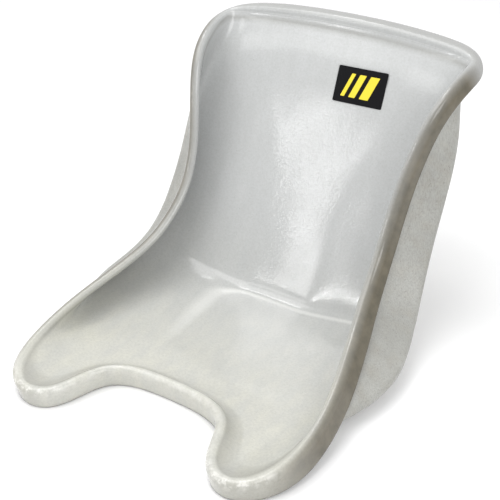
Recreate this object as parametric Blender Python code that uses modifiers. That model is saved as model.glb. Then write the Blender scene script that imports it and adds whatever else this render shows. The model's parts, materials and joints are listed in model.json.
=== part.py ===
"""Fibreglass kart racing seat, built up the way it is laid up in its mould.

The seat is a thin moulded shell: a gelcoat face against the driver, a glass-mat
laminate behind it, a cord of glass roving in the hollow of the rolled rim, extra
mat bonded where the seat is bolted or rubs, and a printed sticker on the back.

The shell is one surface, given as a coarse cage of its left half: cross-sections
from the front lip over the pan and up the back, then strips that roll round the
rim and down its flange.  Lengths in the tables are millimetres.  They are measured
back from the front of the thigh lobes and up from the floor.
"""
import math

import bmesh
import bpy
from mathutils import Euler, Vector

MM = 0.001

# Driving dimensions
FRONT_TO_ORIGIN = 298.5      # the origin lies under the middle of the seat's length
BEAD_RADIUS = 8.0            # outer radius of the rolled rim
FRONT_SPLAY = -4.0           # the front flange's free edge stands this far outside the bead
TOP_SPLAY = 6.5              # the same along the top
GELCOAT_THICKNESS = 0.9
LAMINATE_THICKNESS = 3.0
GAP = 0.3                    # between pieces that touch
PATCH_THICKNESS = 2.0
CORD_RADIUS = 1.5            # roving in the hollow of the rim
CORD_DEPTH = 7.4             # its middle below the crest
CORD_SHIFT = 0.2             # it follows the flange sideways by this share of the splay
CORD_DRAW_IN = 0.73          # subdividing a square ring leaves this share of its reach
BACK_LEAN = math.radians(24.9)   # the back panel leans this far from upright
BACK_FOOT = 391.7                # where the back panel's plane meets the ground

PATCH_DEPTH = GELCOAT_THICKNESS + GAP + LAMINATE_THICKNESS + GAP   # behind the driver's face
PAN_FLOOR = PATCH_DEPTH + PATCH_THICKNESS    # height of the driver's face over the floor patch
FLANGE_CLEARANCE = 0.6                       # the front flange ends this far above the ground

ROLL_STEPS = 3               # strips round the bead, between its inner and outer shoulder
LIP_DEPTH = 24.0             # the front lip's wall runs this far down from the bead
FLAT_COLUMNS = (0.0, 0.7)    # columns of the cage over the flat, as shares of its half width
CURVE_COLUMNS = (0.0, 0.22, 0.48, 0.76, 1.0)    # and along the curve from the flat to the bead
SUBDIVISIONS = 1

# Extra mat under the pan, and under each side of it where the seat bolts to the chassis
FLOOR_PATCH = (110.0, 140.0)         # width, length
FLOOR_PATCH_MIDDLE = 308.0           # from the front
PATCH_CORNER = 12.0
STAY_PATCH_ROWS = range(3, 6)        # rows and columns of the cage that the patch covers
STAY_PATCH_COLUMNS = range(2, 4)
PATCH_EDGE = 0.6                     # the patch ends where the cover has fallen to this

# Sticker on the back
LABEL = (78.0, 52.0)                 # width, height
LABEL_MIDDLE = (44.0, 301.0)         # half width and height of its middle
LABEL_TURN = math.radians(1.5)
LABEL_CORNER = 2.0
FILM_THICKNESS = 0.4
STRIPE_WIDTHS = (6.0, 10.0, 14.0)
STRIPE_HEIGHT = 34.0
STRIPE_SPACE = 7.0
STRIPE_SLANT = 0.35
STRIPE_CORNER = 0.8

# One row a cross-section: (flat from front, its height, its hollow, its half width,
# rim half width, rim from front, rim height, wall angle at the rim, flange depth, flange splay,
# reach of the curve off the flat, its lift off the flat, reach of the curve off the rim)
SECTIONS = [
    (172, 12.0, 0, 70, 205, 60, 40, 36, 33, 6.5, 95, 0, 60),
    (215, PAN_FLOOR, 0, 66, 210, 108, 46, 64, 33, 7.0, 198, 8, 42),
    (270, PAN_FLOOR, 0, 62, 206, 160, 57, 88, 27, 10.0, 300, 20, 44),
    (322, PAN_FLOOR, 0, 60, 194, 215, 69, 107, 22, 12.0, 335, 32, 55),
    (347, PAN_FLOOR, 0, 60, 179, 275, 84, 115, 20, 12.0, 318, 42, 76),
    (364, PAN_FLOOR, 0, 60, 169, 315, 102, 121, 19, 11.0, 286, 74, 110),
    (378, 10.5, 1, 62, 164, 353, 130, 125, 20, 9.0, 264, 74, 118),
    (394, 39.0, 3, 66, 162, 382, 162, 126, 21, 8.0, 252, 50, 100),
    (428, 104.0, 4, 70, 165, 405, 216, 124, 22, 7.0, 232, 36, 99),
    (476, 186.0, 3, 78, 178, 425, 288, 120, 22, 6.5, 204, 28, 107),
    (516, 268.0, 0, 92, 191, 456, 339, 113, 22, 6.5, 162, 16, 96),
    (545, 330.0, 0, 110, 201, 510, 362, 94, 19, 6.5, 96, 4, 46),
]

# Crest of the front edge from the middle outwards: (half width, from front, height, wall angle)
FRONT_EDGE = [
    (0, 113, 32, 60),
    (42, 112, 32, 60),
    (76, 104, 32, 56),
    (100, 84, 32, 46),
    (111, 45, 32, 36),
    (126, 12, 31, 32),
]
LOBE_TIP = (157, 1, 31, 32)
LOBE_FLANK = (190, 20, 35, 32)

# Crest of the top edge from the middle outwards, and the corner where it meets the side
TOP_EDGE = [
    (0, 571, 381, 78),
    (72, 571, 379, 78),
    (120, 570, 376, 78),
    (152, 568, 373, 76),
    (174, 566, 371, 74),
    (190, 562, 368, 72),
]
TOP_CORNER = (201, 551, 366, 66)
TOP_FLANGE = 22
TOP_FLANGE_ANGLE = math.radians(60)  # its slope below level


def point(half_width, from_front, height):
    """A point of the seat's own frame, in metres, from millimetres."""
    return Vector((half_width, from_front - FRONT_TO_ORIGIN, height)) * MM


def bezier(start, start_handle, end_handle, end, t):
    """Point at t on a cubic curve."""
    s = 1.0 - t
    return (start * s**3 + start_handle * 3 * s * s * t
            + end_handle * 3 * s * t * t + end * t**3)


def rim_stations():
    """Crest, wall angle, flange depth and splay right round the half rim, front to top."""
    front = FRONT_EDGE + [LOBE_TIP, LOBE_FLANK]
    stations = [(x, y, z, angle, z - FLANGE_CLEARANCE, FRONT_SPLAY) for x, y, z, angle in front]
    stations += [section[4:10] for section in SECTIONS]
    stations += [row + (TOP_FLANGE, TOP_SPLAY) for row in [TOP_CORNER] + TOP_EDGE[::-1]]
    return stations


def rim_frames():
    """Crest, outward and flange directions, wall angle, flange depth and splay at each station."""
    stations = rim_stations()
    crests = [point(*station[:3]) for station in stations]
    frames = []
    for index, (_, _, _, angle, depth, splay) in enumerate(stations):
        before = crests[max(index - 1, 0)]
        after = crests[min(index + 1, len(crests) - 1)]
        along = (after - before).normalized()
        if index in (0, len(crests) - 1):
            along = Vector((1 if index == 0 else -1, 0, 0))
        on_top = index > len(stations) / 2
        tilt = TOP_FLANGE_ANGLE if on_top else 0.0
        level = Vector((0, math.sin(tilt), -math.cos(tilt)))
        side = Vector((0, along.z, -along.y))
        if side.dot(level) < 0:
            side.negate()
        down = side + level * abs(along.x)
        down = (down - along * down.dot(along)).normalized()
        outward = down.cross(along).normalized()
        frames.append((crests[index], outward, down, math.radians(angle), depth * MM, splay * MM))
    return frames


def roll(frame, step):
    """Cage point of one step round the bead: 0 at the inner shoulder, ROLL_STEPS at the outer."""
    crest, outward, down, wall_angle = frame[:4]
    turn = (wall_angle + math.pi / 2) / ROLL_STEPS
    angle = -wall_angle + turn * step
    cage_radius = BEAD_RADIUS * MM * 3.0 / (2.0 + math.cos(turn))
    radius = BEAD_RADIUS * MM if step == 0 else cage_radius
    centre = crest + down * BEAD_RADIUS * MM
    return centre + radius * (outward * math.sin(angle) - down * math.cos(angle))


def flange_end(frame):
    """Cage point at the free edge of the flange."""
    crest, outward, down, _, depth, splay = frame
    return crest + outward * (BEAD_RADIUS * MM + splay) + down * depth


def wall_direction(frame):
    """Direction in which the shell's surface runs up into the bead."""
    _, outward, down, wall_angle = frame[:4]
    return outward * math.cos(wall_angle) - down * math.sin(wall_angle)


def spine_normal(index):
    """Direction that faces the driver at a cross-section's middle."""
    before = SECTIONS[max(index - 1, 0)]
    after = SECTIONS[min(index + 1, len(SECTIONS) - 1)]
    along = point(0, after[0], after[1]) - point(0, before[0], before[1])
    return Vector((0, -along.z, along.y)).normalized()


def section_row(section, normal, frame):
    """One cross-section: flat from the centre line, then curving up to the bead."""
    from_front, height, hollow, half_width = section[:4]
    flat_reach, lift, rim_reach = section[-3:]
    edge = point(half_width, from_front, height)
    shoulder = roll(frame, 0)
    start_handle = edge + (Vector((flat_reach, 0, 0)) + normal * lift) * MM
    end_handle = shoulder - wall_direction(frame) * rim_reach * MM
    row = []
    for share in FLAT_COLUMNS:
        level = point(half_width * share, from_front, height)
        row.append(level - normal * hollow * (1.0 - share**2) * MM)
    row += [bezier(edge, start_handle, end_handle, shoulder, t) for t in CURVE_COLUMNS]
    return row


def cage_rows(frames):
    """Grid of the shell's face, row by row from the front edge to the top edge."""
    columns = len(FRONT_EDGE) + 1
    front = [roll(frame, 0) for frame in frames[:columns]]
    lip = [shoulder - wall_direction(frame) * LIP_DEPTH * MM
           for shoulder, frame in zip(front[:-1], frames[:columns - 1])]
    lip.append(roll(frames[columns], 0))
    rows = [front, lip]
    for index, section in enumerate(SECTIONS):
        rows.append(section_row(section, spine_normal(index), frames[columns + 1 + index]))
    top = [roll(frame, 0) for frame in frames[-columns:]]
    rows.append(top[::-1])
    return rows


def half_cage():
    """Vertices and faces of the left half of the cage, the grid of the face first."""
    frames = rim_frames()
    rows = cage_rows(frames)
    columns = len(rows[0])
    vertices = [vertex for row in rows for vertex in row]
    faces = []
    for r in range(len(rows) - 1):
        for c in range(columns - 1):
            corner = r * columns + c
            faces.append((corner, corner + 1, corner + columns + 1, corner + columns))
    ring = list(range(columns))
    ring += [r * columns + columns - 1 for r in range(1, len(rows) - 1)]
    ring += [(len(rows) - 1) * columns + c for c in range(columns - 1, -1, -1)]
    for step in range(1, ROLL_STEPS + 2):
        outer = list(range(len(vertices), len(vertices) + len(frames)))
        vertices += [roll(frame, step) if step <= ROLL_STEPS else flange_end(frame) for frame in frames]
        faces += [(ring[a], outer[a], outer[a + 1], ring[a + 1]) for a in range(len(frames) - 1)]
        ring = outer
    return vertices, faces


def make_material(name, colour, roughness):
    """Plain Principled material."""
    material = bpy.data.materials.new(name)
    material.use_nodes = True
    shader = material.node_tree.nodes["Principled BSDF"]
    shader.inputs["Base Color"].default_value = (*colour, 1.0)
    shader.inputs["Roughness"].default_value = roughness
    return material


def add_object(name, mesh, material, collection):
    """Smooth-shaded object for a finished mesh, in the seat's collection."""
    mesh.materials.append(material)
    mesh.shade_smooth()
    item = bpy.data.objects.new(name, mesh)
    collection.objects.link(item)
    return item


def add_cage(name, vertices, faces, material, collection):
    """Object for a cage that its caller mirrors, rounds off or thickens."""
    mesh = bpy.data.meshes.new(name)
    mesh.from_pydata(vertices, [], faces)
    return add_object(name, mesh, material, collection)


def add_mirror(item):
    """Mirror the left half across the seat's centre plane."""
    mirror = item.modifiers.new("Mirror", 'MIRROR')
    mirror.use_clip = True
    mirror.merge_threshold = 0.0001


def add_subdivision(item):
    """Round the cage off, in flat triangles so that layers behind one another keep their gap."""
    smooth = item.modifiers.new("Smooth", 'SUBSURF')
    smooth.levels = SUBDIVISIONS
    smooth.render_levels = SUBDIVISIONS
    facets = item.modifiers.new("Facets", 'TRIANGULATE')
    facets.quad_method = 'SHORTEST_DIAGONAL'


def add_depth(item, depth):
    """Sink a face this far behind the driver's face."""
    sink = item.modifiers.new("Depth", 'DISPLACE')
    sink.mid_level = 0.0
    sink.strength = -depth * MM


def add_thickness(item, thickness):
    """Thicken a face away from the driver."""
    layer = item.modifiers.new("Layer", 'SOLIDIFY')
    layer.thickness = thickness * MM
    layer.offset = -1.0


def add_shell_layer(name, depth, thickness, material, collection):
    """Layer of the moulding that covers all of it, rim and flange included."""
    item = add_cage(name, *half_cage(), material, collection)
    add_mirror(item)
    add_subdivision(item)
    add_depth(item, depth)
    add_thickness(item, thickness)


def add_roving_cord(name, material, collection):
    """Closed loop of roving along the middle of the rolled rim, four corners to a section."""
    vertices = []
    for crest, outward, down, _, _, splay in rim_frames():
        middle = crest + down * CORD_DEPTH * MM + outward * CORD_SHIFT * splay
        reach = CORD_RADIUS / CORD_DRAW_IN * MM
        vertices += [middle + reach * side for side in (outward, -down, -outward, down)]
    faces = []
    for first in range(0, len(vertices) - 4, 4):
        for side in range(4):
            after = (side + 1) % 4
            faces.append((first + side, first + 4 + side, first + 4 + after, first + after))
    item = add_cage(name, vertices, faces, material, collection)
    add_mirror(item)
    add_subdivision(item)


def add_stay_patch(name, side, material, collection):
    """Extra mat on the back of the laminate; side is 1 on the left and -1 on the right."""
    vertices, faces = half_cage()
    columns = len(FRONT_EDGE) + 1
    if side < 0:
        vertices = [Vector((-vertex.x, vertex.y, vertex.z)) for vertex in vertices]
        faces = [(face[0],) + face[:0:-1] for face in faces]
    item = add_cage(name, vertices, faces, material, collection)
    covered = item.vertex_groups.new(name="covered")
    covered.add([r * columns + c for r in STAY_PATCH_ROWS for c in STAY_PATCH_COLUMNS], 1.0, 'REPLACE')
    add_subdivision(item)
    add_depth(item, PATCH_DEPTH)
    mask = item.modifiers.new("Covered", 'MASK')
    mask.vertex_group = covered.name
    mask.threshold = PATCH_EDGE
    add_thickness(item, PATCH_THICKNESS)


def add_plate(name, size, corner, thickness, material, collection):
    """Flat plate with rounded corners, centred on the origin."""
    shape = bmesh.new()
    bmesh.ops.create_cube(shape, size=1.0)
    bmesh.ops.scale(shape, vec=Vector((size[0], size[1], thickness)) * MM, verts=shape.verts)
    upright = []
    for edge in shape.edges:
        rise = abs(edge.verts[0].co.z - edge.verts[1].co.z)
        if rise > 0.5 * thickness * MM:
            upright.append(edge)
    bmesh.ops.bevel(shape, geom=upright, offset=corner * MM, segments=3, profile=0.5, affect='EDGES')
    mesh = bpy.data.meshes.new(name)
    shape.to_mesh(mesh)
    shape.free()
    item = add_object(name, mesh, material, collection)
    mesh.shade_flat()
    return item


def add_stripe(name, width, material, collection):
    """Slanting printed stripe, centred on the origin."""
    item = add_plate(name, (width, STRIPE_HEIGHT), STRIPE_CORNER, FILM_THICKNESS, material, collection)
    for vertex in item.data.vertices:
        vertex.co.x += STRIPE_SLANT * vertex.co.y
    return item


def place_on_back(item, across, height_above_face):
    """Lay a flat piece on the back panel, across millimetres from the sticker's middle."""
    half_width, height = LABEL_MIDDLE
    middle = point(half_width, BACK_FOOT + height * math.tan(BACK_LEAN), height)
    item.rotation_euler = Euler((math.pi / 2 - BACK_LEAN, 0, 0))
    item.rotation_euler.rotate_axis('Z', LABEL_TURN)
    item.location = middle + item.rotation_euler.to_matrix() @ Vector((across, 0, height_above_face)) * MM


def add_sticker(film_material, print_material, collection):
    """Black film with three printed stripes that grow wider."""
    film = add_plate("label_film", LABEL, LABEL_CORNER, FILM_THICKNESS, film_material, collection)
    lift = GAP + FILM_THICKNESS / 2
    place_on_back(film, 0.0, lift)
    lift += FILM_THICKNESS + GAP
    left_edge = -(sum(STRIPE_WIDTHS) + STRIPE_SPACE * (len(STRIPE_WIDTHS) - 1)) / 2
    for number, width in enumerate(STRIPE_WIDTHS, start=1):
        stripe = add_stripe(f"label_stripe_{number}", width, print_material, collection)
        place_on_back(stripe, left_edge + width / 2, lift)
        left_edge += width + STRIPE_SPACE


def main():
    for item in list(bpy.data.objects):
        bpy.data.objects.remove(item, do_unlink=True)
    collection = bpy.data.collections.new("racing_seat")
    bpy.context.scene.collection.children.link(collection)
    gelcoat = make_material("gelcoat", (0.60, 0.61, 0.58), 0.28)
    glass = make_material("glass_laminate", (0.38, 0.38, 0.34), 0.6)
    roving = make_material("glass_roving", (0.52, 0.50, 0.42), 0.7)
    patch_glass = make_material("glass_patch", (0.34, 0.34, 0.30), 0.65)
    film = make_material("black_film", (0.01, 0.01, 0.01), 0.35)
    ink = make_material("yellow_print", (0.80, 0.66, 0.05), 0.4)

    add_shell_layer("gelcoat_face", 0.0, GELCOAT_THICKNESS, gelcoat, collection)
    add_shell_layer("laminate_shell", GELCOAT_THICKNESS + GAP, LAMINATE_THICKNESS, glass, collection)
    add_roving_cord("rim_roving_cord", roving, collection)
    add_stay_patch("front_stay_patch_left", 1, patch_glass, collection)
    add_stay_patch("front_stay_patch_right", -1, patch_glass, collection)
    floor_patch = add_plate("floor_patch", FLOOR_PATCH, PATCH_CORNER, PATCH_THICKNESS,
                            patch_glass, collection)
    floor_patch.location = point(0, FLOOR_PATCH_MIDDLE, PATCH_THICKNESS / 2)
    add_sticker(film, ink, collection)


main()
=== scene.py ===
"""Looks of the fibreglass kart racing seat.

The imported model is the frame.  The moulded layers, the cord and the two stay patches
are built again from the same cage with a finer surface; the floor patch and the
sticker stay as they are and only get materials.  Then come the floor, the light and
the camera.  Lengths in the tables are millimetres, measured back from the front of
the thigh lobes and up from the floor; what says metres is in metres.
"""

import json
import math

import bpy
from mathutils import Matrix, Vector

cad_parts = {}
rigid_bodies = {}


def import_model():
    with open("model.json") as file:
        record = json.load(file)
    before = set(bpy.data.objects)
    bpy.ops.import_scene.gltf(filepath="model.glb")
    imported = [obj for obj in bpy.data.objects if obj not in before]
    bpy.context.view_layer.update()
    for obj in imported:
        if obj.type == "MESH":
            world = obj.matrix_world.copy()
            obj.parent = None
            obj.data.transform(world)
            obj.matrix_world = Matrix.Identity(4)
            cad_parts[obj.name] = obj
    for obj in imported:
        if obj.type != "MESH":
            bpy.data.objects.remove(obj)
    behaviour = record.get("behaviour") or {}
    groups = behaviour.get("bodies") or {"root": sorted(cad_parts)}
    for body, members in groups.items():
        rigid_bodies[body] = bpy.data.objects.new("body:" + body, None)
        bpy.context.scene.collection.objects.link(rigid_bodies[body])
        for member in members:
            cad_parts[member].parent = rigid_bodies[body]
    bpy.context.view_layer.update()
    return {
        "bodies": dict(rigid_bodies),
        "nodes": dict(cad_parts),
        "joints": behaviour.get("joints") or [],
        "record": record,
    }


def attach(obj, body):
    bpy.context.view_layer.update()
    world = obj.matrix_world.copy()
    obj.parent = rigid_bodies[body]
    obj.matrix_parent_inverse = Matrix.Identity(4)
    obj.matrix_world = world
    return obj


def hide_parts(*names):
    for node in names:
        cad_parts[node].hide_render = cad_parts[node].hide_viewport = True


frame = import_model()

MM = 0.001

# Driving dimensions
FRONT_TO_ORIGIN = 298.5      # the origin lies under the middle of the seat's length
BEAD_RADIUS = 8.0            # outer radius of the rolled rim
FRONT_SPLAY = -4.0           # the front flange's free edge stands this far outside the bead
TOP_SPLAY = 6.5              # the same along the top
GELCOAT_THICKNESS = 0.9
LAMINATE_THICKNESS = 3.0
GAP = 0.3                    # between pieces that touch
PATCH_THICKNESS = 2.0
CORD_RADIUS = 1.5            # roving in the hollow of the rim
CORD_DEPTH = 7.4             # its middle below the crest
CORD_SHIFT = 0.2             # it follows the flange sideways by this share of the splay
CORD_DRAW_IN = 0.73          # subdividing a square ring leaves this share of its reach
CORD_SIDES = 4               # of the cage round the cord

PATCH_DEPTH = GELCOAT_THICKNESS + GAP + LAMINATE_THICKNESS + GAP   # behind the driver's face
PAN_FLOOR = PATCH_DEPTH + PATCH_THICKNESS    # height of the driver's face over the floor patch
FLANGE_CLEARANCE = 0.6                       # the front flange ends this far above the ground

ROLL_STEPS = 3               # strips round the bead, between its inner and outer shoulder
LIP_DEPTH = 24.0             # the front lip's wall runs this far down from the bead
FLAT_COLUMNS = (0.0, 0.7)    # columns of the cage over the flat, as shares of its half width
CURVE_COLUMNS = (0.0, 0.22, 0.48, 0.76, 1.0)    # and along the curve from the flat to the bead
COLUMNS = len(FLAT_COLUMNS) + len(CURVE_COLUMNS)

# Extra mat under each side of the pan, where the seat bolts to the chassis
STAY_PATCH_ROWS = range(3, 6)        # rows and columns of the cage that the patch covers
STAY_PATCH_COLUMNS = range(2, 4)
PATCH_EDGE = 0.6                     # the patch ends where the cover has fallen to this

# One row a cross-section: (flat from front, its height, its hollow, its half width,
# rim half width, rim from front, rim height, wall angle at the rim, flange depth, flange splay,
# reach of the curve off the flat, its lift off the flat, reach of the curve off the rim)
SECTIONS = [
    (172, 12.0, 0, 70, 205, 60, 40, 36, 33, 6.5, 95, 0, 60),
    (215, PAN_FLOOR, 0, 66, 210, 108, 46, 64, 33, 7.0, 198, 8, 42),
    (270, PAN_FLOOR, 0, 62, 206, 160, 57, 88, 27, 10.0, 300, 20, 44),
    (322, PAN_FLOOR, 0, 60, 194, 215, 69, 107, 22, 12.0, 335, 32, 55),
    (347, PAN_FLOOR, 0, 60, 179, 275, 84, 115, 20, 12.0, 318, 42, 76),
    (364, PAN_FLOOR, 0, 60, 169, 315, 102, 121, 19, 11.0, 286, 74, 110),
    (378, 10.5, 1, 62, 164, 353, 130, 125, 20, 9.0, 264, 74, 118),
    (394, 39.0, 3, 66, 162, 382, 162, 126, 21, 8.0, 252, 50, 100),
    (428, 104.0, 4, 70, 165, 405, 216, 124, 22, 7.0, 232, 36, 99),
    (476, 186.0, 3, 78, 178, 425, 288, 120, 22, 6.5, 204, 28, 107),
    (516, 268.0, 0, 92, 191, 456, 339, 113, 22, 6.5, 162, 16, 96),
    (545, 330.0, 0, 110, 201, 510, 362, 94, 19, 6.5, 96, 4, 46),
]

# Crest of the front edge from the middle outwards: (half width, from front, height, wall angle)
FRONT_EDGE = [
    (0, 113, 32, 60),
    (42, 112, 32, 60),
    (76, 104, 32, 56),
    (100, 84, 32, 46),
    (111, 45, 32, 36),
    (126, 12, 31, 32),
]
LOBE_TIP = (157, 1, 31, 32)
LOBE_FLANK = (190, 20, 35, 32)

# Crest of the top edge from the middle outwards, and the corner where it meets the side
TOP_EDGE = [
    (0, 571, 381, 78),
    (72, 571, 379, 78),
    (120, 570, 376, 78),
    (152, 568, 373, 76),
    (174, 566, 371, 74),
    (190, 562, 368, 72),
]
TOP_CORNER = (201, 551, 366, 66)
TOP_FLANGE = 22
TOP_FLANGE_ANGLE = math.radians(60)  # its slope below level

CAGE_ROWS = len(SECTIONS) + 3        # with the front edge, the lip's foot and the top edge
STRIPE_COUNT = 3                     # stripes printed on the sticker

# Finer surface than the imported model's
FINE_SUBDIVISIONS = 3
WAVE_HEIGHT = 0.3            # hand-laid laminate is never quite even
WAVE_LENGTH = 70.0
MERGE_DISTANCE = 0.0001      # metres, where the mirrored halves meet

# Bare resin along the rim: its share at each kind of rim station
FRONT_RESIN = 0.05
TIP_RESIN = 0.30             # at the lobe's tip
RESIN_GROWTH = 0.35          # gained at each station from the lobe's flank on, up to 1 down the sides
TOP_RESIN = 0.30
RESIN_BY_STEP = (0.12, 0.75, 1.0, 1.0)       # over the bead, from its inner side to the flange's edge

# Chalky wear by rim station, from the middle of the front edge to the lobe's flank
WORN_STATIONS = (0.25, 0.25, 0.25, 0.3, 0.4, 0.6, 1.0, 0.5)
WORN_BY_STEP = (0.6, 1.0, 0.2, 0.0)

# Painted shade in the hollow behind the rolled rim: full along the face's border, less at the foot of the
# front lip
BORDER_GROOVE_SHADE = 1.0
LIP_GROOVE_SHADE = 0.8
GROOVE_SHADE_RANGE = (0.70, 1.0)   # from no painted shade to full painted shade

# Painted highlight along the heel, a pale line in rows and columns of the cage
HEEL_ROW = 7.0
HEEL_REACH = 1.5             # on one side it turns forwards over this many rows
HEEL_COLUMN = 1.0            # from this column outwards
HEEL_WIDTH = (0.05, 0.22)    # half width where it is full and where it has gone, in reaches
HEEL_FADE = (2.5, 4.5)       # towards the front it has gone at the first row
CENTRE_BLEND = 0.001         # metres, where the two sides' lines meet

# Patterns: waves per metre, detail, roughness, and the noise that counts as 0 and as 1
CLOUDS = (22.0, 3.0, 0.55, 0.30, 0.70)
HAZE = (1.0, 3.0, 0.5, 0.35, 0.65)           # in a space stretched by HAZE_WAVES
HAZE_WAVES = (60.0, 24.0, 9.0)               # waves per metre across, along and up
GRAIN = (330.0, 3.0, 0.55, 0.38, 0.66)
PITS = (900.0, 1.0, 0.4, 0.70, 0.76)
STAINS = (60.0, 3.0, 0.55, 0.3, 0.7)
CHALK = (75.0, 4.0, 0.7, 0.42, 0.60)
BLOTCHES = (16.0, 4.0, 0.55, 0.35, 0.65)
WETNESS = (55.0, 3.0, 0.55, 0.45, 0.70)
SPECKS = (420.0, 3.0, 0.7, 0.58, 0.68)
STRAND_NOISE = (1.0, 1.0, 0.4, 0.56, 0.72)   # in a space stretched to one strand
PRINT_WEAR = (260.0, 4.0, 0.7, 0.62, 0.78)
SMEARS = (90.0, 3.0, 0.55, 0.3, 0.7)
FLOOR_TONE = (3.0, 3.0, 0.55, 0.3, 0.7)

# Ripples of the surface: waves per metre, detail and height
GEL_RIPPLE = (240.0, 2.0, 0.13)
GEL_PEEL = (900.0, 1.0, 0.02)
PRINT_PEEL = (400.0, 2.0, 0.03)

# Chopped glass strands, and the lumps of the mat that they lie in
STRAND_LAYERS = 6
STRAND_SLENDERNESS = 0.07                    # width over length
STRAND_SHIFT = (0.13, 0.028, 0.31)           # keeps the layers apart
STRAND_TURN = 0.4                            # radians, by which the first layer is turned
STRAND_TILTS = (0.6, 0.9)                    # radians, by which the layers tilt at most
STRAND_STEPS = (3.1, 2.3)                    # radians, from one layer's tilt to the next
LAMINATE_STRANDS = (22.0, 0.10)              # length, height
PATCH_STRANDS = (26.0, 0.16)
MAT_LUMPS = (120.0, 3.0)                     # waves per metre, detail
LUMPS_OVER_STRANDS = 2.0                     # height of the lumps over that of the strands

# Twist of the roving
TWIST_WAVES = 160.0                          # per metre
TWIST_DISTORTION = 2.0
TWIST_DETAIL = 2.0
TWIST_HEIGHT = 0.4

# Roughness and specular level
GEL_ROUGHNESS = (0.08, 0.13)                 # varies with the clouds
CHALK_ROUGHNESS = 0.4                        # chalk adds this
MAT_ROUGHNESS = (0.34, 0.55)                 # between the strands, and on them
ROVING_ROUGHNESS = 0.6
FILM_ROUGHNESS = 0.42
INK_ROUGHNESS = 0.45
SMEAR_ROUGHNESS = 0.12                       # smears add up to this
PRINT_SPECULAR = 0.10
FLOOR_ROUGHNESS = 0.9
FLOOR_SPECULAR = 0.1

# Colours are linear.  The gelcoat's ground runs from silver to ivory
SILVER = (0.50, 0.51, 0.51)
IVORY = (0.58, 0.575, 0.51)
IVORY_RANGE = (0.13, -0.16)                  # metres along Y, from all silver to all ivory

# Layers over it: share, colour
CLOUD_LAYER = (0.25, (0.45, 0.455, 0.45))
HAZE_LAYER = (0.30, (0.44, 0.45, 0.45))
GRAIN_LAYER = (0.22, (0.32, 0.32, 0.30))
# painted highlight along the heel
HEEL_HIGHLIGHT_LAYER = (0.42, (0.80, 0.80, 0.77))
# painted shade behind the rolled rim
GROOVE_SHADE_LAYER = (0.42, (0.20, 0.195, 0.17))
PIT_LAYER = (0.45, (0.22, 0.22, 0.20))

# The other colours
CHALK_WHITE = (0.78, 0.77, 0.73)
RESIN_LIGHT = (0.150, 0.132, 0.095)
RESIN_DARK = (0.10, 0.09, 0.065)
LAMINATE_LIGHT = (0.41, 0.41, 0.385)
LAMINATE_DARK = (0.15, 0.15, 0.13)
PATCH_LIGHT = (0.40, 0.40, 0.36)
PATCH_DARK = (0.17, 0.17, 0.14)
BLOTCH_TINT = (0.84, 0.84, 0.84)             # times the mat's light colour
WET_TINT = (0.80, 0.74, 0.66)
WET_SHARE = 0.30
STRAND_SHARE = 0.26
SPECK_SHARE = 0.55
ROVING_LIGHT = (0.56, 0.54, 0.45)
ROVING_DARK = (0.36, 0.33, 0.25)
FILM_BLACK = (0.006, 0.006, 0.007)
FILM_WORN = (0.03, 0.03, 0.03)
INK_YELLOW = (0.80, 0.66, 0.06)
INK_WORN = (0.55, 0.46, 0.10)
FLOOR_LIGHT = (0.95, 0.95, 0.95)
FLOOR_SHADE = (0.93, 0.93, 0.935)

# Camera, in metres
AZIMUTH = math.radians(32.2)
ELEVATION = math.radians(32.3)
DISTANCE = 1.150
TARGET = (0.0837, -0.1285, 0.230)
LENS = 69.336                # millimetres, on a sensor of SENSOR_WIDTH
SENSOR_WIDTH = 36.0

# Studio, in metres and watts
FLOOR_SIZE = 60.0
FLOOR_HEIGHT = -0.0006       # just clear of the seat
WORLD_STRENGTH = 0.74
LIGHTS = [                   # name, place, target, (width, height), power
    ("key", (-0.6, -0.5, 2.6), (0.0, 0.0, 0.15), (1.8, 1.8), 30.0),
    ("fill_right", (1.9, -0.9, 1.8), (-0.1, 0.2, 0.25), (1.4, 1.4), 23.0),
    ("above_lip", (-0.9, 0.6, 2.4), (0.0, -0.2, 0.05), (0.7, 0.4), 8.0),
    ("above_top", (-1.05, -1.45, 1.8), (0.0, 0.25, 0.35), (0.5, 0.4), 1.5),
    ("strip_wide", (-0.930, -1.624, 0.82), (0.0, 0.15, 0.15), (0.10, 0.48), 1.6),
    ("strip_narrow", (-1.240, -1.361, 0.80), (0.08, 0.14, 0.12), (0.04, 0.54), 2.2),
]


def point(half_width, from_front, height):
    """A point of the seat's own frame, in metres, from millimetres."""
    return Vector((half_width, from_front - FRONT_TO_ORIGIN, height)) * MM


def bezier(start, start_handle, end_handle, end, t):
    """Point at t on a cubic curve."""
    s = 1.0 - t
    return (start * s**3 + start_handle * 3 * s * s * t
            + end_handle * 3 * s * t * t + end * t**3)


def rim_stations():
    """Crest, wall angle, flange depth and splay right round the half rim, front to top."""
    front = FRONT_EDGE + [LOBE_TIP, LOBE_FLANK]
    stations = [(x, y, z, angle, z - FLANGE_CLEARANCE, FRONT_SPLAY) for x, y, z, angle in front]
    stations += [section[4:10] for section in SECTIONS]
    stations += [row + (TOP_FLANGE, TOP_SPLAY) for row in [TOP_CORNER] + TOP_EDGE[::-1]]
    return stations


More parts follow.
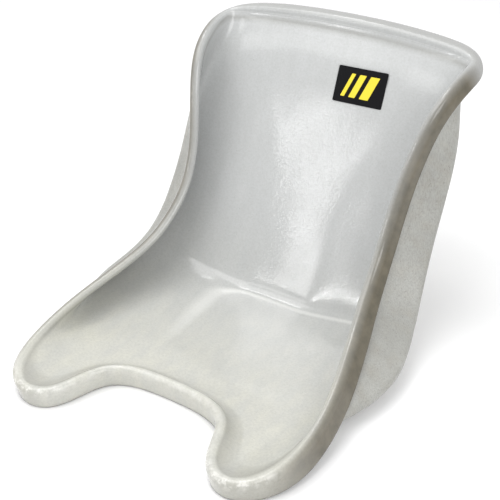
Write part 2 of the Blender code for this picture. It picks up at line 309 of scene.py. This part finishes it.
def rim_frames():
    """Crest, outward and flange directions, wall angle, flange depth and splay at each station."""
    stations = rim_stations()
    crests = [point(*station[:3]) for station in stations]
    frames = []
    for index, (_, _, _, angle, depth, splay) in enumerate(stations):
        before = crests[max(index - 1, 0)]
        after = crests[min(index + 1, len(crests) - 1)]
        along = (after - before).normalized()
        if index in (0, len(crests) - 1):
            along = Vector((1 if index == 0 else -1, 0, 0))
        on_top = index > len(stations) / 2
        tilt = TOP_FLANGE_ANGLE if on_top else 0.0
        level = Vector((0, math.sin(tilt), -math.cos(tilt)))
        side = Vector((0, along.z, -along.y))
        if side.dot(level) < 0:
            side.negate()
        down = side + level * abs(along.x)
        down = (down - along * down.dot(along)).normalized()
        outward = down.cross(along).normalized()
        frames.append((crests[index], outward, down, math.radians(angle), depth * MM, splay * MM))
    return frames


def roll(frame, step):
    """Cage point of one step round the bead: 0 at the inner shoulder, ROLL_STEPS at the outer."""
    crest, outward, down, wall_angle = frame[:4]
    turn = (wall_angle + math.pi / 2) / ROLL_STEPS
    angle = -wall_angle + turn * step
    cage_radius = BEAD_RADIUS * MM * 3.0 / (2.0 + math.cos(turn))
    radius = BEAD_RADIUS * MM if step == 0 else cage_radius
    centre = crest + down * BEAD_RADIUS * MM
    return centre + radius * (outward * math.sin(angle) - down * math.cos(angle))


def flange_end(frame):
    """Cage point at the free edge of the flange."""
    crest, outward, down, _, depth, splay = frame
    return crest + outward * (BEAD_RADIUS * MM + splay) + down * depth


def wall_direction(frame):
    """Direction in which the shell's surface runs up into the bead."""
    _, outward, down, wall_angle = frame[:4]
    return outward * math.cos(wall_angle) - down * math.sin(wall_angle)


def spine_normal(index):
    """Direction that faces the driver at a cross-section's middle."""
    before = SECTIONS[max(index - 1, 0)]
    after = SECTIONS[min(index + 1, len(SECTIONS) - 1)]
    along = point(0, after[0], after[1]) - point(0, before[0], before[1])
    return Vector((0, -along.z, along.y)).normalized()


def section_row(section, normal, frame):
    """One cross-section: flat from the centre line, then curving up to the bead."""
    from_front, height, hollow, half_width = section[:4]
    flat_reach, lift, rim_reach = section[-3:]
    edge = point(half_width, from_front, height)
    shoulder = roll(frame, 0)
    start_handle = edge + (Vector((flat_reach, 0, 0)) + normal * lift) * MM
    end_handle = shoulder - wall_direction(frame) * rim_reach * MM
    row = []
    for share in FLAT_COLUMNS:
        level = point(half_width * share, from_front, height)
        row.append(level - normal * hollow * (1.0 - share**2) * MM)
    row += [bezier(edge, start_handle, end_handle, shoulder, t) for t in CURVE_COLUMNS]
    return row


def cage_rows(frames):
    """Grid of the shell's face, row by row from the front edge to the top edge."""
    front = [roll(frame, 0) for frame in frames[:COLUMNS]]
    lip = [shoulder - wall_direction(frame) * LIP_DEPTH * MM
           for shoulder, frame in zip(front[:-1], frames[:COLUMNS - 1])]
    lip.append(roll(frames[COLUMNS], 0))
    rows = [front, lip]
    for index, section in enumerate(SECTIONS):
        rows.append(section_row(section, spine_normal(index), frames[COLUMNS + 1 + index]))
    top = [roll(frame, 0) for frame in frames[-COLUMNS:]]
    rows.append(top[::-1])
    return rows


def half_cage():
    """Vertices and faces of the left half of the cage, the grid of the face first."""
    frames = rim_frames()
    rows = cage_rows(frames)
    vertices = [vertex for row in rows for vertex in row]
    faces = []
    for row in range(CAGE_ROWS - 1):
        for column in range(COLUMNS - 1):
            corner = row * COLUMNS + column
            faces.append((corner, corner + 1, corner + COLUMNS + 1, corner + COLUMNS))
    ring = list(range(COLUMNS))
    ring += [row * COLUMNS + COLUMNS - 1 for row in range(1, CAGE_ROWS - 1)]
    ring += [(CAGE_ROWS - 1) * COLUMNS + column for column in range(COLUMNS - 1, -1, -1)]
    for step in range(1, ROLL_STEPS + 2):
        outer = list(range(len(vertices), len(vertices) + len(frames)))
        if step <= ROLL_STEPS:
            vertices += [roll(frame, step) for frame in frames]
        else:
            vertices += [flange_end(frame) for frame in frames]
        faces += [(ring[a], outer[a], outer[a + 1], ring[a + 1]) for a in range(len(frames) - 1)]
        ring = outer
    return vertices, faces


def add_node(tree, kind, inputs=None, **settings):
    """Shader node with its inputs set: a socket is linked, anything else is a value."""
    node = tree.nodes.new(kind)
    for name, value in settings.items():
        setattr(node, name, value)
    for key, value in (inputs or {}).items():
        if isinstance(value, bpy.types.NodeSocket):
            tree.links.new(value, node.inputs[key])
        else:
            node.inputs[key].default_value = value
    return node


def object_place(tree):
    """Socket with the place in the seat's own frame, in metres."""
    return add_node(tree, "ShaderNodeTexCoord").outputs["Object"]


def attribute(tree, name):
    """Socket with a value stored on the mesh."""
    return add_node(tree, "ShaderNodeAttribute", attribute_name=name).outputs["Fac"]


def ranged(tree, value, low, high, to_low=0.0, to_high=1.0):
    """Socket with value mapped linearly and clamped."""
    node = add_node(tree, "ShaderNodeMapRange",
                    {"Value": value, "From Min": low, "From Max": high, "To Min": to_low, "To Max": to_high})
    return node.outputs["Result"]


def combined(tree, operation, first, second=0.0):
    """Socket with one arithmetic operation."""
    return add_node(tree, "ShaderNodeMath", {0: first, 1: second}, operation=operation).outputs[0]


def noise(tree, scale, detail, roughness=0.55, place=None):
    """Socket with noise from 0 to 1; scale is in waves per metre."""
    if place is None:
        place = object_place(tree)
    inputs = {"Vector": place, "Scale": scale, "Detail": detail, "Roughness": roughness}
    return add_node(tree, "ShaderNodeTexNoise", inputs).outputs["Fac"]


def pattern(tree, settings, to_low=0.0, to_high=1.0, place=None):
    """Socket with one of the patterns above, clamped to its range."""
    scale, detail, roughness, low, high = settings
    return ranged(tree, noise(tree, scale, detail, roughness, place), low, high, to_low, to_high)


def mixed(tree, factor, first, second):
    """Socket with a colour mix; colours are sockets or linear triples."""
    node = add_node(tree, "ShaderNodeMix", data_type='RGBA')
    for key, value in ((0, factor), (6, first), (7, second)):
        if isinstance(value, bpy.types.NodeSocket):
            tree.links.new(value, node.inputs[key])
        else:
            node.inputs[key].default_value = (*value, 1.0)
    return node.outputs[2]


def layered(tree, colour, layers):
    """Socket with layers over a colour, each given by where it lies, its share and its colour."""
    for where, (share, over) in layers:
        colour = mixed(tree, combined(tree, "MULTIPLY", where, share), colour, over)
    return colour


def bumped(tree, height, distance, normal=None):
    """Socket with a normal from a height of 0 to 1 times distance millimetres."""
    inputs = {"Height": height, "Distance": distance * MM, "Strength": 1.0}
    if normal is not None:
        inputs["Normal"] = normal
    return add_node(tree, "ShaderNodeBump", inputs).outputs["Normal"]


def rippled(tree, ripple, normal=None):
    """Socket with the normal of one of the ripples above."""
    scale, detail, height = ripple
    return bumped(tree, noise(tree, scale, detail), height, normal)


def new_material(name):
    """Empty Principled material: the material, its tree and its shader."""
    material = bpy.data.materials.new(name)
    material.use_nodes = True
    tree = material.node_tree
    return material, tree, tree.nodes["Principled BSDF"]


def tinted(colour, tint):
    """One colour times another."""
    return tuple(part * share for part, share in zip(colour, tint))


def strands(tree, length):
    """Socket with chopped glass strands of a length in millimetres, 0 to 1, in several directions."""
    width = length * STRAND_SLENDERNESS
    total = None
    place = object_place(tree)
    for number in range(STRAND_LAYERS):
        mapping = add_node(tree, "ShaderNodeMapping", {
            "Vector": place,
            "Location": (STRAND_SHIFT[0] * number, STRAND_SHIFT[1], STRAND_SHIFT[2] * number),
            "Rotation": (math.pi * number / STRAND_LAYERS + STRAND_TURN,
                         STRAND_TILTS[0] * math.sin(STRAND_STEPS[0] * number + STRAND_TURN),
                         STRAND_TILTS[1] * math.cos(STRAND_STEPS[1] * number)),
            "Scale": (1.0 / (width * MM), 1.0 / (width * MM), 1.0 / (length * MM)),
        })
        layer = pattern(tree, STRAND_NOISE, place=mapping.outputs["Vector"])
        total = layer if total is None else combined(tree, "MAXIMUM", total, layer)
    return total


def painted_heel_highlight(tree, across):
    """Socket with the painted highlight, a pale line between pan and back, 0 to 1.

    The line lies where place is 1.  On the driver's left that is all along the heel's
    row.  On the right it turns forwards round a quarter circle of the cage's grid, and
    runs along a column until it fades.
    """
    row = attribute(tree, "row")
    behind = combined(tree, "SUBTRACT", row, HEEL_ROW - HEEL_REACH)
    behind = combined(tree, "DIVIDE", behind, HEEL_REACH)
    beside = combined(tree, "SUBTRACT", attribute(tree, "column"), HEEL_COLUMN)
    squares = [combined(tree, "POWER", combined(tree, "MAXIMUM", way, 0.0), 2.0) for way in (beside, behind)]
    turned = combined(tree, "SQRT", combined(tree, "ADD", *squares))
    side = ranged(tree, across, -CENTRE_BLEND, CENTRE_BLEND)
    place = add_node(tree, "ShaderNodeMix", {0: side, 2: turned, 3: behind}).outputs[0]
    away = combined(tree, "ABSOLUTE", combined(tree, "SUBTRACT", place, 1.0))
    line = ranged(tree, away, *HEEL_WIDTH, 1.0, 0.0)
    return combined(tree, "MULTIPLY", line, ranged(tree, row, *HEEL_FADE))


def gelcoat_look():
    """Silver-grey gelcoat, ivory towards the front, bare resin down the sides of the flange, with a painted
    highlight along the heel and painted shade behind the rolled rim.
    """
    material, tree, shader = new_material("look_gelcoat")
    axes = add_node(tree, "ShaderNodeSeparateXYZ", {"Vector": object_place(tree)})
    front = ranged(tree, axes.outputs["Y"], *IVORY_RANGE)
    clouds = pattern(tree, CLOUDS)
    bands = add_node(tree, "ShaderNodeMapping", {"Vector": object_place(tree), "Scale": HAZE_WAVES})
    haze = pattern(tree, HAZE, place=bands.outputs["Vector"])
    colour = layered(tree, mixed(tree, front, SILVER, IVORY), (
        (clouds, CLOUD_LAYER),
        (haze, HAZE_LAYER),
        (pattern(tree, GRAIN), GRAIN_LAYER),
        # painted highlight along the heel, pale over the gelcoat
        (painted_heel_highlight(tree, axes.outputs["X"]), HEEL_HIGHLIGHT_LAYER),
        # painted shade behind the rolled rim, dark over the gelcoat
        (ranged(tree, attribute(tree, "painted_rim_shade"), *GROOVE_SHADE_RANGE), GROOVE_SHADE_LAYER),
        (pattern(tree, PITS), PIT_LAYER),
    ))
    stain = mixed(tree, pattern(tree, STAINS), RESIN_LIGHT, RESIN_DARK)
    colour = mixed(tree, attribute(tree, "resin"), colour, stain)
    chalk = combined(tree, "MULTIPLY", attribute(tree, "worn"), pattern(tree, CHALK))
    tree.links.new(mixed(tree, chalk, colour, CHALK_WHITE), shader.inputs["Base Color"])
    gloss = ranged(tree, clouds, 0.0, 1.0, *GEL_ROUGHNESS)
    dulled = combined(tree, "ADD", gloss, combined(tree, "MULTIPLY", chalk, CHALK_ROUGHNESS))
    tree.links.new(dulled, shader.inputs["Roughness"])
    tree.links.new(rippled(tree, GEL_PEEL, rippled(tree, GEL_RIPPLE)), shader.inputs["Normal"])
    return material


def glass_look(name, light, dark, strand_length, strand_height):
    """Resin-wetted chopped strand mat; lengths in millimetres."""
    material, tree, shader = new_material(name)
    glass = strands(tree, strand_length)
    colour = mixed(tree, pattern(tree, BLOTCHES), light, tinted(light, BLOTCH_TINT))
    colour = layered(tree, colour, (
        (pattern(tree, WETNESS), (WET_SHARE, tinted(light, WET_TINT))),
        (glass, (STRAND_SHARE, dark)),
        (pattern(tree, SPECKS), (SPECK_SHARE, dark)),
    ))
    tree.links.new(colour, shader.inputs["Base Color"])
    tree.links.new(ranged(tree, glass, 0.0, 1.0, *MAT_ROUGHNESS), shader.inputs["Roughness"])
    lumps = bumped(tree, noise(tree, *MAT_LUMPS), LUMPS_OVER_STRANDS * strand_height)
    tree.links.new(bumped(tree, glass, strand_height, lumps), shader.inputs["Normal"])
    return material


def roving_look():
    """Bundle of glass rovings with a twist."""
    material, tree, shader = new_material("look_roving")
    inputs = {"Vector": object_place(tree), "Scale": TWIST_WAVES,
              "Distortion": TWIST_DISTORTION, "Detail": TWIST_DETAIL}
    twist = add_node(tree, "ShaderNodeTexWave", inputs, bands_direction='DIAGONAL').outputs["Fac"]
    tree.links.new(mixed(tree, twist, ROVING_LIGHT, ROVING_DARK), shader.inputs["Base Color"])
    shader.inputs["Roughness"].default_value = ROVING_ROUGHNESS
    tree.links.new(bumped(tree, twist, TWIST_HEIGHT), shader.inputs["Normal"])
    return material


def print_look(name, colour, worn, roughness):
    """Printed vinyl with a faint orange peel and a little wear."""
    material, tree, shader = new_material(name)
    tree.links.new(mixed(tree, pattern(tree, PRINT_WEAR), colour, worn), shader.inputs["Base Color"])
    smears = pattern(tree, SMEARS, roughness, roughness + SMEAR_ROUGHNESS)
    tree.links.new(smears, shader.inputs["Roughness"])
    tree.links.new(rippled(tree, PRINT_PEEL), shader.inputs["Normal"])
    shader.inputs["Specular IOR Level"].default_value = PRINT_SPECULAR
    return material


def floor_look():
    """Matt pale studio floor."""
    material, tree, shader = new_material("look_floor")
    tone = mixed(tree, pattern(tree, FLOOR_TONE), FLOOR_LIGHT, FLOOR_SHADE)
    tree.links.new(tone, shader.inputs["Base Color"])
    shader.inputs["Roughness"].default_value = FLOOR_ROUGHNESS
    shader.inputs["Specular IOR Level"].default_value = FLOOR_SPECULAR
    return material


def resin_weights(station_count):
    """Bare resin by rim station: hardly any across the front, full down the sides, some on the top."""
    flank = len(FRONT_EDGE) + 1
    top = flank + 1 + len(SECTIONS)
    weights = [FRONT_RESIN] * (flank - 1) + [TIP_RESIN]
    weights += [min(1.0, RESIN_GROWTH * (station - flank + 1)) for station in range(flank, top)]
    return weights + [TOP_RESIN] * (station_count - top)


def rolled_values(weights, by_step):
    """Values at each vertex of the half cage, other than 0 only on the rolled rim."""
    values = [0.0] * (CAGE_ROWS * COLUMNS)
    for share in by_step:
        values += [share * weight for weight in weights]
    return values


def grid_values(value_at, station_count):
    """Values of a row and a column at each vertex of the half cage, and 0 on the rolled rim."""
    grid = [float(value_at(row, column)) for row in range(CAGE_ROWS) for column in range(COLUMNS)]
    return grid + [0.0] * (station_count * (ROLL_STEPS + 1))


def painted_groove_shade_at(row, column):
    """How much painted shade a vertex of the grid gets, in the hollow behind the rim."""
    if row in (0, CAGE_ROWS - 1) or column == COLUMNS - 1:
        return BORDER_GROOVE_SHADE
    return LIP_GROOVE_SHADE if row == 1 else 0.0


def store(piece, name, values):
    """Keep one value per vertex on the mesh for its material."""
    piece.data.attributes.new(name, 'FLOAT', 'POINT').data.foreach_set("value", values)


def add_marks(piece):
    """Store where the gelcoat is stained or worn, where it gets a painted heel highlight and where it gets
    painted shade behind the rim.
    """
    stations = len(rim_stations())
    worn = list(WORN_STATIONS) + [0.0] * (stations - len(WORN_STATIONS))
    store(piece, "resin", rolled_values(resin_weights(stations), RESIN_BY_STEP))
    store(piece, "worn", rolled_values(worn, WORN_BY_STEP))
    store(piece, "row", grid_values(lambda row, column: row, stations))
    store(piece, "column", grid_values(lambda row, column: column, stations))
    store(piece, "painted_rim_shade", grid_values(painted_groove_shade_at, stations))


def add_piece(name, vertices, faces, material, node):
    """Smooth piece that stands for a CAD node and rides on the seat."""
    mesh = bpy.data.meshes.new(name)
    mesh.from_pydata(vertices, [], faces)
    mesh.materials.append(material)
    mesh.shade_smooth()
    piece = bpy.data.objects.new(name, mesh)
    bpy.context.scene.collection.objects.link(piece)
    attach(piece, "root")
    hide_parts(node)
    return piece


def add_mirror(piece):
    """Mirror the left half across the seat's centre plane."""
    mirror = piece.modifiers.new("Mirror", 'MIRROR')
    mirror.use_clip = True
    mirror.merge_threshold = MERGE_DISTANCE


def add_rounding(piece):
    """Round a cage off."""
    smooth = piece.modifiers.new("Smooth", 'SUBSURF')
    smooth.levels = FINE_SUBDIVISIONS
    smooth.render_levels = FINE_SUBDIVISIONS


def add_waves(piece):
    """Lay the slow waves of hand lay-up over a surface."""
    waves = piece.modifiers.new("Waves", 'DISPLACE')
    waves.texture = bpy.data.textures.get("waves") or bpy.data.textures.new("waves", 'CLOUDS')
    waves.texture.noise_scale = WAVE_LENGTH * MM
    waves.texture.noise_depth = 1
    waves.texture_coords = 'LOCAL'
    waves.strength = WAVE_HEIGHT * MM
    waves.mid_level = 0.5


def add_depth(piece, depth):
    """Sink a face this far behind the driver's face."""
    sink = piece.modifiers.new("Depth", 'DISPLACE')
    sink.mid_level = 0.0
    sink.strength = -depth * MM


def add_thickness(piece, thickness):
    """Thicken a face away from the driver."""
    layer = piece.modifiers.new("Layer", 'SOLIDIFY')
    layer.thickness = thickness * MM
    layer.offset = -1.0


def add_layer(name, depth, thickness, material, node):
    """Layer of the moulding that covers all of it."""
    vertices, faces = half_cage()
    piece = add_piece(name, vertices, faces, material, node)
    add_mirror(piece)
    add_rounding(piece)
    add_waves(piece)
    add_depth(piece, depth)
    add_thickness(piece, thickness)
    return piece


def add_cord(name, material, node):
    """Closed loop of roving along the middle of the rolled rim, a square to each station."""
    reach = CORD_RADIUS * MM / CORD_DRAW_IN
    vertices = []
    for crest, outward, down, _, _, splay in rim_frames():
        middle = crest + down * CORD_DEPTH * MM + outward * CORD_SHIFT * splay
        vertices += [middle + reach * way for way in (outward, -down, -outward, down)]
    faces = []
    for first in range(0, len(vertices) - CORD_SIDES, CORD_SIDES):
        following = first + CORD_SIDES
        for side in range(CORD_SIDES):
            after = (side + 1) % CORD_SIDES
            faces.append((first + side, following + side, following + after, first + after))
    piece = add_piece(name, vertices, faces, material, node)
    add_mirror(piece)
    add_rounding(piece)


def add_patch(name, side, material, node):
    """Extra mat on the back of the laminate; side is 1 on the left and -1 on the right."""
    vertices, faces = half_cage()
    if side < 0:
        vertices = [Vector((-vertex.x, vertex.y, vertex.z)) for vertex in vertices]
        faces = [(face[0],) + face[:0:-1] for face in faces]
    piece = add_piece(name, vertices, faces, material, node)
    covered = piece.vertex_groups.new(name="covered")
    places = [row * COLUMNS + column for row in STAY_PATCH_ROWS for column in STAY_PATCH_COLUMNS]
    covered.add(places, 1.0, 'REPLACE')
    add_rounding(piece)
    add_waves(piece)
    add_depth(piece, PATCH_DEPTH)
    mask = piece.modifiers.new("Covered", 'MASK')
    mask.vertex_group = covered.name
    mask.threshold = PATCH_EDGE
    mask.use_smooth = True
    add_thickness(piece, PATCH_THICKNESS)


def dress_sticker():
    """Film and ink for the sticker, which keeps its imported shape."""
    film = print_look("look_film", FILM_BLACK, FILM_WORN, FILM_ROUGHNESS)
    ink = print_look("look_ink", INK_YELLOW, INK_WORN, INK_ROUGHNESS)
    frame["nodes"]["label_film"].material_slots[0].material = film
    for number in range(1, STRIPE_COUNT + 1):
        frame["nodes"][f"label_stripe_{number}"].material_slots[0].material = ink


def facing(direction):
    """Rotation of a light or a camera that looks in a direction."""
    return direction.to_track_quat("-Z", "Y").to_euler()


def add_light(name, place, target, size, power):
    """Rectangular soft light that faces its target."""
    data = bpy.data.lights.new(name, 'AREA')
    data.shape = 'RECTANGLE'
    data.size, data.size_y = size
    data.energy = power
    light = bpy.data.objects.new(name, data)
    light.location = place
    light.rotation_euler = facing(Vector(target) - Vector(place))
    bpy.context.scene.collection.objects.link(light)


def add_studio():
    """Pale floor, even surroundings and soft lights."""
    bpy.ops.mesh.primitive_plane_add(size=FLOOR_SIZE, location=(0, 0, FLOOR_HEIGHT))
    floor = bpy.context.object
    floor.name = "studio_floor"
    floor.data.materials.append(floor_look())
    world = bpy.data.worlds.new("studio")
    world.use_nodes = True
    background = world.node_tree.nodes["Background"]
    background.inputs["Color"].default_value = (1.0, 1.0, 1.0, 1.0)
    background.inputs["Strength"].default_value = WORLD_STRENGTH
    bpy.context.scene.world = world
    for light in LIGHTS:
        add_light(*light)


def add_camera():
    """Camera to the front left of the seat and above it."""
    data = bpy.data.cameras.new("camera")
    data.sensor_width = SENSOR_WIDTH
    data.lens = LENS
    camera = bpy.data.objects.new("camera", data)
    ahead = Vector((-math.sin(AZIMUTH) * math.cos(ELEVATION),
                    math.cos(AZIMUTH) * math.cos(ELEVATION),
                    -math.sin(ELEVATION)))
    camera.location = Vector(TARGET) - ahead * DISTANCE
    camera.rotation_euler = facing(ahead)
    bpy.context.scene.collection.objects.link(camera)
    bpy.context.scene.camera = camera


def main():
    """Build the fine pieces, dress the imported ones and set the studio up."""
    gelcoat = add_layer("fine_gelcoat", 0.0, GELCOAT_THICKNESS, gelcoat_look(), "gelcoat_face")
    add_marks(gelcoat)
    laminate_mat = glass_look("look_laminate", LAMINATE_LIGHT, LAMINATE_DARK, *LAMINATE_STRANDS)
    add_layer("fine_laminate", GELCOAT_THICKNESS + GAP, LAMINATE_THICKNESS, laminate_mat,
              "laminate_shell")
    add_cord("fine_roving_cord", roving_look(), "rim_roving_cord")
    patch_mat = glass_look("look_patch", PATCH_LIGHT, PATCH_DARK, *PATCH_STRANDS)
    add_patch("fine_stay_patch_left", 1, patch_mat, "front_stay_patch_left")
    add_patch("fine_stay_patch_right", -1, patch_mat, "front_stay_patch_right")
    frame["nodes"]["floor_patch"].material_slots[0].material = patch_mat
    dress_sticker()
    add_studio()
    add_camera()
    bpy.context.scene.view_settings.view_transform = 'Standard'


main()
